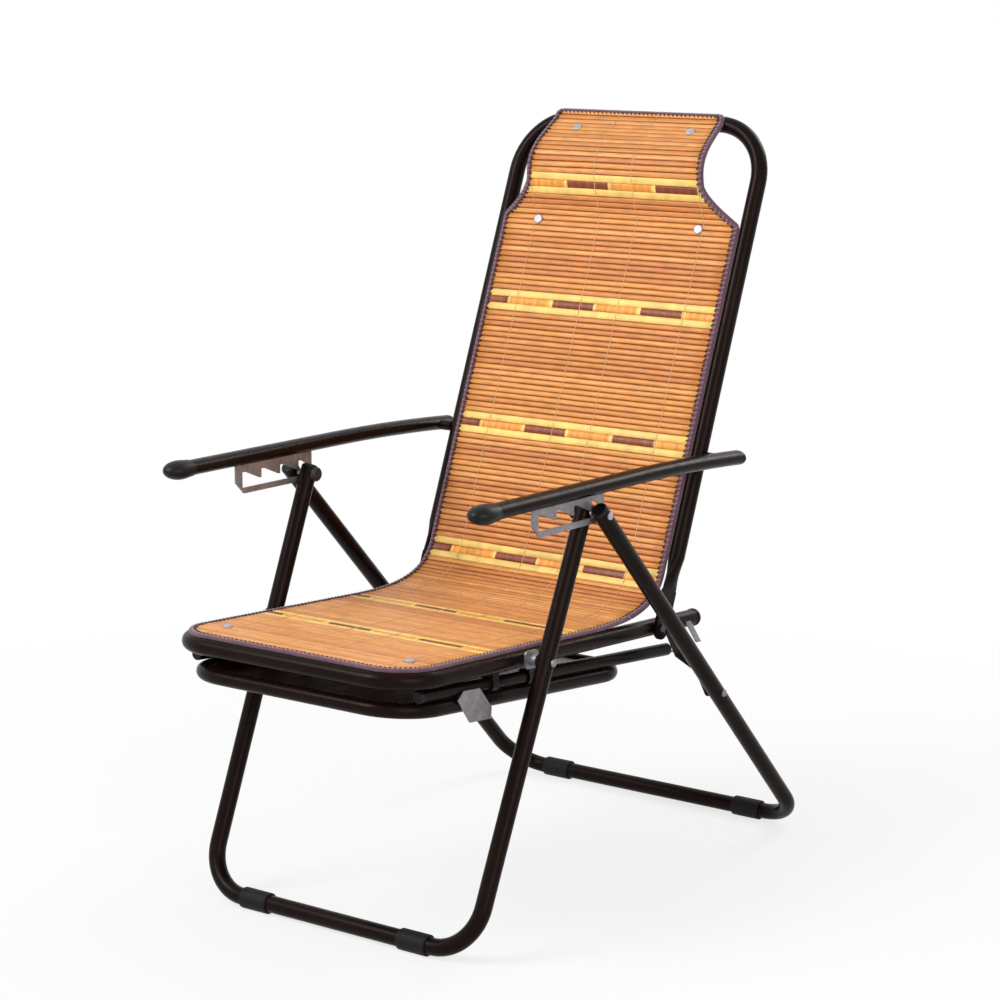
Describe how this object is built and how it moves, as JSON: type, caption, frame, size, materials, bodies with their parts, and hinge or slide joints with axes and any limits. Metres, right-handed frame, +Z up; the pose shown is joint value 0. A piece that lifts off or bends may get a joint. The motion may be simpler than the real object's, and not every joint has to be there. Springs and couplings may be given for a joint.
{
  "type": "folding recliner chair",
  "caption": "Folding reclining chair of painted steel tube with a slat mat, armrests that lock the back on notched racks, and a footrest that slides under the seat.",
  "frame": {"origin": "middle of the bounding box at floor level", "axes": "+Z up, -Y towards the front of the seat, +X towards the sitter's left"},
  "size_m": [0.6016, 0.939, 1.1205],
  "materials": {
    "painted_tube": "glossy dark brown paint",
    "black_plastic": "moulded black plastic",
    "black_rubber": "black rubber sleeve",
    "zinc": "zinc plated pressed steel",
    "bamboo_mat": "carbonised slat mat with stitched cloth binding",
    "panel": "dark red lacquered board"
  },
  "bodies": {
    "rear_frame": {"rear_leg_frame": "painted_tube", "rear_leg_caps": "black_plastic", "link_rivets": "zinc", "rear_floor_sleeve_left": "black_rubber", "rear_floor_sleeve_right": "black_rubber"},
    "front_frame": {"front_leg_frame": "painted_tube", "front_leg_caps": "black_plastic", "seat_pivot_bolts": "zinc", "front_floor_sleeve_left": "black_rubber", "front_floor_sleeve_right": "black_rubber"},
    "rack_pins": {"rack_pins": "zinc"},
    "rack_bushes": {"rack_bushes": "zinc"},
    "armrest_pivots": {"armrest_rivets": "zinc"},
    "armrest_left": {"armrest_tube_left": "painted_tube", "armrest_front_cap_left": "black_plastic", "armrest_rear_cap_left": "black_plastic", "rack_plate_left": "zinc", "armrest_bracket_left": "zinc"},
    "armrest_right": {"armrest_tube_right": "painted_tube", "armrest_front_cap_right": "black_plastic", "armrest_rear_cap_right": "black_plastic", "rack_plate_right": "zinc", "armrest_bracket_right": "zinc"},
    "seat": {"seat_frame": "painted_tube", "seat_rail_caps": "black_plastic", "seat_pivot_brackets": "zinc", "footrest_guides": "black_plastic", "seat_tail_straps": "zinc", "seat_mat": "bamboo_mat", "seat_snaps": "zinc"},
    "links": {"link_left": "zinc", "link_right": "zinc", "link_studs": "zinc"},
    "back_pivot": {"back_hinge_bolts": "zinc", "mat_bend": "bamboo_mat"},
    "back": {"back_frame": "painted_tube", "back_mat": "bamboo_mat", "back_snaps": "zinc"},
    "footrest": {"footrest_frame": "painted_tube", "footrest_panel": "panel", "slide_rail_plugs": "black_plastic", "latch_wires": "zinc", "slide_rail_left": "painted_tube", "slide_rail_right": "painted_tube", "tie_plate_left": "zinc", "tie_plate_right": "zinc"}
  },
  "joints": [
    {"name": "fold", "type": "hinge", "parent": "rear_frame", "child": "front_frame", "pos_m": [0, -0.108, 0.5975], "axis": [1, 0, 0], "range_deg": [0, 60]},
    {"name": "seat_fold", "type": "hinge", "parent": "front_frame", "child": "seat", "pos_m": [0, -0.19291, 0.39887], "axis": [1, 0, 0], "range_deg": [-79.33, 0]},
    {"name": "link_fold", "type": "hinge", "parent": "rear_frame", "child": "links", "pos_m": [0, 0.20122, 0.277], "axis": [1, 0, 0], "range_deg": [-113.16, 0]},
    {"name": "back_fold", "type": "hinge", "parent": "seat", "child": "back_pivot", "pos_m": [0, 0.133, 0.38019], "axis": [1, 0, 0], "range_deg": [0, 62.14], "deforming": ["mat_bend"]},
    {"name": "recline", "type": "hinge", "parent": "back_pivot", "child": "back", "pos_m": [0, 0.133, 0.38019], "axis": [-1, 0, 0], "range_deg": [0, 34.3], "deforming": ["mat_bend"]},
    {"name": "rack_pin_turn", "type": "hinge", "parent": "rear_frame", "child": "rack_pins", "pos_m": [0, -0.108, 0.5975], "axis": [1, 0, 0], "range_deg": [-13.72, 0]},
    {"name": "rack_bush_turn", "type": "hinge", "parent": "rack_pins", "child": "rack_bushes", "pos_m": [0, -0.108, 0.5975], "axis": [1, 0, 0], "range_deg": [-11.93, 0]},
    {"name": "rack_travel", "type": "slide", "parent": "rack_bushes", "child": "armrest_pivots", "axis": [0, 1, -0.0059], "range_m": [0, 0.126]},
    {"name": "armrest_lift_left", "type": "hinge", "parent": "armrest_pivots", "child": "armrest_left", "pos_m": [0, 0.22959, 0.626], "axis": [1, 0, 0], "range_deg": [0, 1.44]},
    {"name": "armrest_lift_right", "type": "hinge", "parent": "armrest_pivots", "child": "armrest_right", "pos_m": [0, 0.22959, 0.626], "axis": [1, 0, 0], "range_deg": [0, 1.44]},
    {"name": "footrest_slide", "type": "slide", "parent": "seat", "child": "footrest", "axis": [0, -0.9959, 0.0903], "range_m": [0, 0.34]}
  ],
  "couplings": [
    {"joint": "seat_fold", "follows": "fold", "ratio": -1.3222},
    {"joint": "link_fold", "follows": "fold", "ratio": -1.8859},
    {"joint": "back_fold", "follows": "fold", "ratio": 1.0357},
    {"joint": "rack_pin_turn", "follows": "fold", "ratio": -0.22868},
    {"joint": "rack_bush_turn", "follows": "recline", "ratio": -0.34784},
    {"joint": "rack_travel", "follows": "recline", "m_per_rad": 0.21047}
  ]
}
